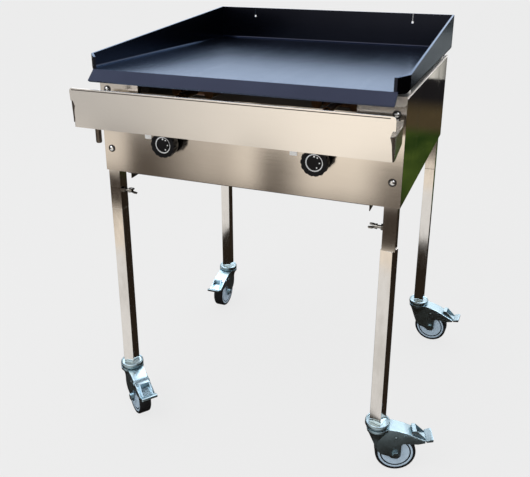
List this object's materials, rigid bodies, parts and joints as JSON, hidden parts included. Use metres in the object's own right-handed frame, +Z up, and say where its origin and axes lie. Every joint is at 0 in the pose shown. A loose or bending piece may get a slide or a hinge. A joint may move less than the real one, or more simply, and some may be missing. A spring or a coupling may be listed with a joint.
{
  "type": "outdoor gas griddle station",
  "caption": "Free-standing gas griddle: a walled steel plate on a sheet-metal burner box, drip trough and turn knobs in front, telescopic square legs on braked swivel casters.",
  "frame": {"origin": "point on the floor midway between the four caster swivel axes, under the middle of the burner box", "axes": "+Z up, front with the knobs towards -Y, +X to the right as seen from the front"},
  "size_m": [0.9064, 0.815, 1.049],
  "materials": {
    "griddle_steel": "blued rolled steel, faintly oiled, darker on the walls",
    "panel_steel": "brushed stainless sheet, semi-bright",
    "tube_steel": "polished stainless square tube with sharp reflections",
    "bright_fastener": "bright plated fasteners",
    "zinc_plate": "bluish zinc plate on pressed steel",
    "wheel_disc": "moulded blue-grey plastic",
    "tyre": "black moulded rubber",
    "burner_steel": "heat-tinted steel tube",
    "gas_pipe": "dark coated pipe, satin",
    "valve_brass": "machined brass",
    "knob": "black moulded plastic, satin gloss",
    "tag": "plain white tag"
  },
  "bodies": {
    "housing": {"front_panel": "panel_steel", "back_panel": "panel_steel", "left_side_panel": "panel_steel", "right_side_panel": "panel_steel", "plate_rail_left": "panel_steel", "plate_rail_right": "panel_steel", "levelling_screws": "bright_fastener", "front_bottom_rail": "panel_steel", "rear_bottom_rail": "panel_steel", "trough_hangers": "panel_steel", "panel_screws": "bright_fastener", "weld_nuts": "bright_fastener", "burner_left": "burner_steel", "burner_right": "burner_steel", "burner_rails": "panel_steel", "gas_manifold": "gas_pipe", "gas_valves": "valve_brass", "marker_plates": "tag", "leg_socket_front_left": "tube_steel", "leg_socket_front_right": "tube_steel", "leg_socket_back_left": "tube_steel", "leg_socket_back_right": "tube_steel"},
    "griddle_plate": {"griddle_plate": "griddle_steel"},
    "grease_trough": {"grease_trough": "panel_steel"},
    "valve_stem_left": {"valve_stem_left": "valve_brass"},
    "control_knob_left": {"control_knob_left": "knob"},
    "valve_stem_right": {"valve_stem_right": "valve_brass"},
    "control_knob_right": {"control_knob_right": "knob"},
    "lower_leg_front_left": {"lower_leg_front_left": "tube_steel", "caster_head_front_left": "zinc_plate"},
    "caster_swivel_front_left": {"caster_fork_front_left": "zinc_plate", "axle_bolt_front_left": "bright_fastener"},
    "caster_wheel_front_left": {"wheel_hub_front_left": "wheel_disc", "wheel_tyre_front_left": "tyre"},
    "brake_pedal_front_left": {"brake_pedal_front_left": "zinc_plate"},
    "wing_bolt_front_left": {"wing_bolt_front_left": "bright_fastener"},
    "lower_leg_front_right": {"lower_leg_front_right": "tube_steel", "caster_head_front_right": "zinc_plate"},
    "caster_swivel_front_right": {"caster_fork_front_right": "zinc_plate", "axle_bolt_front_right": "bright_fastener"},
    "caster_wheel_front_right": {"wheel_hub_front_right": "wheel_disc", "wheel_tyre_front_right": "tyre"},
    "brake_pedal_front_right": {"brake_pedal_front_right": "zinc_plate"},
    "wing_bolt_front_right": {"wing_bolt_front_right": "bright_fastener"},
    "lower_leg_back_left": {"lower_leg_back_left": "tube_steel", "caster_head_back_left": "zinc_plate"},
    "caster_swivel_back_left": {"caster_fork_back_left": "zinc_plate", "axle_bolt_back_left": "bright_fastener"},
    "caster_wheel_back_left": {"wheel_hub_back_left": "wheel_disc", "wheel_tyre_back_left": "tyre"},
    "brake_pedal_back_left": {"brake_pedal_back_left": "zinc_plate"},
    "wing_bolt_back_left": {"wing_bolt_back_left": "bright_fastener"},
    "lower_leg_back_right": {"lower_leg_back_right": "tube_steel", "caster_head_back_right": "zinc_plate"},
    "caster_swivel_back_right": {"caster_fork_back_right": "zinc_plate", "axle_bolt_back_right": "bright_fastener"},
    "caster_wheel_back_right": {"wheel_hub_back_right": "wheel_disc", "wheel_tyre_back_right": "tyre"},
    "brake_pedal_back_right": {"brake_pedal_back_right": "zinc_plate"},
    "wing_bolt_back_right": {"wing_bolt_back_right": "bright_fastener"}
  },
  "joints": [
    {"name": "plate_lift", "type": "slide", "parent": "housing", "child": "griddle_plate", "axis": [0, 0, 1], "range_m": [0, 0.15]},
    {"name": "trough_lift", "type": "slide", "parent": "housing", "child": "grease_trough", "axis": [0, 0, 1], "range_m": [0, 0.03]},
    {"name": "knob_turn_left", "type": "hinge", "parent": "housing", "child": "valve_stem_left", "pos_m": [-0.184, -0.36, 0.786], "axis": [0, -1, 0], "range_deg": [0, 150]},
    {"name": "knob_push_left", "type": "slide", "parent": "valve_stem_left", "child": "control_knob_left", "axis": [0, 1, 0], "range_m": [0, 0.003], "stiffness_N_per_m": 900, "springref_m": -0.004},
    {"name": "knob_turn_right", "type": "hinge", "parent": "housing", "child": "valve_stem_right", "pos_m": [0.184, -0.36, 0.786], "axis": [0, -1, 0], "range_deg": [0, 150]},
    {"name": "knob_push_right", "type": "slide", "parent": "valve_stem_right", "child": "control_knob_right", "axis": [0, 1, 0], "range_m": [0, 0.003], "stiffness_N_per_m": 900, "springref_m": -0.004},
    {"name": "leg_slide_front_left", "type": "slide", "parent": "housing", "child": "lower_leg_front_left", "axis": [0, 0, -1], "range_m": [0, 0.06]},
    {"name": "wing_turn_front_left", "type": "hinge", "parent": "housing", "child": "wing_bolt_front_left", "pos_m": [-0.333, -0.3175, 0.641], "axis": [1, 0, 0], "range_deg": [0, 360]},
    {"name": "swivel_front_left", "type": "hinge", "parent": "lower_leg_front_left", "child": "caster_swivel_front_left", "pos_m": [-0.348, -0.3175, 0.121], "axis": [0, 0, 1], "continuous": true},
    {"name": "wheel_roll_front_left", "type": "hinge", "parent": "caster_swivel_front_left", "child": "caster_wheel_front_left", "pos_m": [-0.31156, -0.34638, 0.05], "axis": [0.6211, 0.7837, 0], "continuous": true},
    {"name": "brake_front_left", "type": "hinge", "parent": "caster_swivel_front_left", "child": "brake_pedal_front_left", "pos_m": [-0.29471, -0.35974, 0.102], "axis": [0.6211, 0.7837, 0], "range_deg": [0, 15]},
    {"name": "leg_slide_front_right", "type": "slide", "parent": "housing", "child": "lower_leg_front_right", "axis": [0, 0, -1], "range_m": [0, 0.06]},
    {"name": "wing_turn_front_right", "type": "hinge", "parent": "housing", "child": "wing_bolt_front_right", "pos_m": [0.333, -0.3175, 0.641], "axis": [1, 0, 0], "range_deg": [0, 360]},
    {"name": "swivel_front_right", "type": "hinge", "parent": "lower_leg_front_right", "child": "caster_swivel_front_right", "pos_m": [0.348, -0.3175, 0.121], "axis": [0, 0, 1], "continuous": true},
    {"name": "wheel_roll_front_right", "type": "hinge", "parent": "caster_swivel_front_right", "child": "caster_wheel_front_right", "pos_m": [0.39222, -0.30313, 0.05], "axis": [-0.309, 0.9511, 0], "continuous": true},
    {"name": "brake_front_right", "type": "hinge", "parent": "caster_swivel_front_right", "child": "brake_pedal_front_right", "pos_m": [0.41267, -0.29649, 0.102], "axis": [-0.309, 0.9511, 0], "range_deg": [0, 15]},
    {"name": "leg_slide_back_left", "type": "slide", "parent": "housing", "child": "lower_leg_back_left", "axis": [0, 0, -1], "range_m": [0, 0.06]},
    {"name": "wing_turn_back_left", "type": "hinge", "parent": "housing", "child": "wing_bolt_back_left", "pos_m": [-0.333, 0.3175, 0.641], "axis": [1, 0, 0], "range_deg": [0, 360]},
    {"name": "swivel_back_left", "type": "hinge", "parent": "lower_leg_back_left", "child": "caster_swivel_back_left", "pos_m": [-0.348, 0.3175, 0.121], "axis": [0, 0, 1], "continuous": true},
    {"name": "wheel_roll_back_left", "type": "hinge", "parent": "caster_swivel_back_left", "child": "caster_wheel_back_left", "pos_m": [-0.34695, 0.27101, 0.05], "axis": [0.9997, 0.0227, 0], "continuous": true},
    {"name": "brake_back_left", "type": "hinge", "parent": "caster_swivel_back_left", "child": "brake_pedal_back_left", "pos_m": [-0.34646, 0.24952, 0.102], "axis": [0.9997, 0.0227, 0], "range_deg": [0, 15]},
    {"name": "leg_slide_back_right", "type": "slide", "parent": "housing", "child": "lower_leg_back_right", "axis": [0, 0, -1], "range_m": [0, 0.06]},
    {"name": "wing_turn_back_right", "type": "hinge", "parent": "housing", "child": "wing_bolt_back_right", "pos_m": [0.333, 0.3175, 0.641], "axis": [1, 0, 0], "range_deg": [0, 360]},
    {"name": "swivel_back_right", "type": "hinge", "parent": "lower_leg_back_right", "child": "caster_swivel_back_right", "pos_m": [0.348, 0.3175, 0.121], "axis": [0, 0, 1], "continuous": true},
    {"name": "wheel_roll_back_right", "type": "hinge", "parent": "caster_swivel_back_right", "child": "caster_wheel_back_right", "pos_m": [0.39441, 0.31458, 0.05], "axis": [0.0628, 0.998, 0], "continuous": true},
    {"name": "brake_back_right", "type": "hinge", "parent": "caster_swivel_back_right", "child": "brake_pedal_back_right", "pos_m": [0.41587, 0.31323, 0.102], "axis": [0.0628, 0.998, 0], "range_deg": [0, 15]}
  ]
}
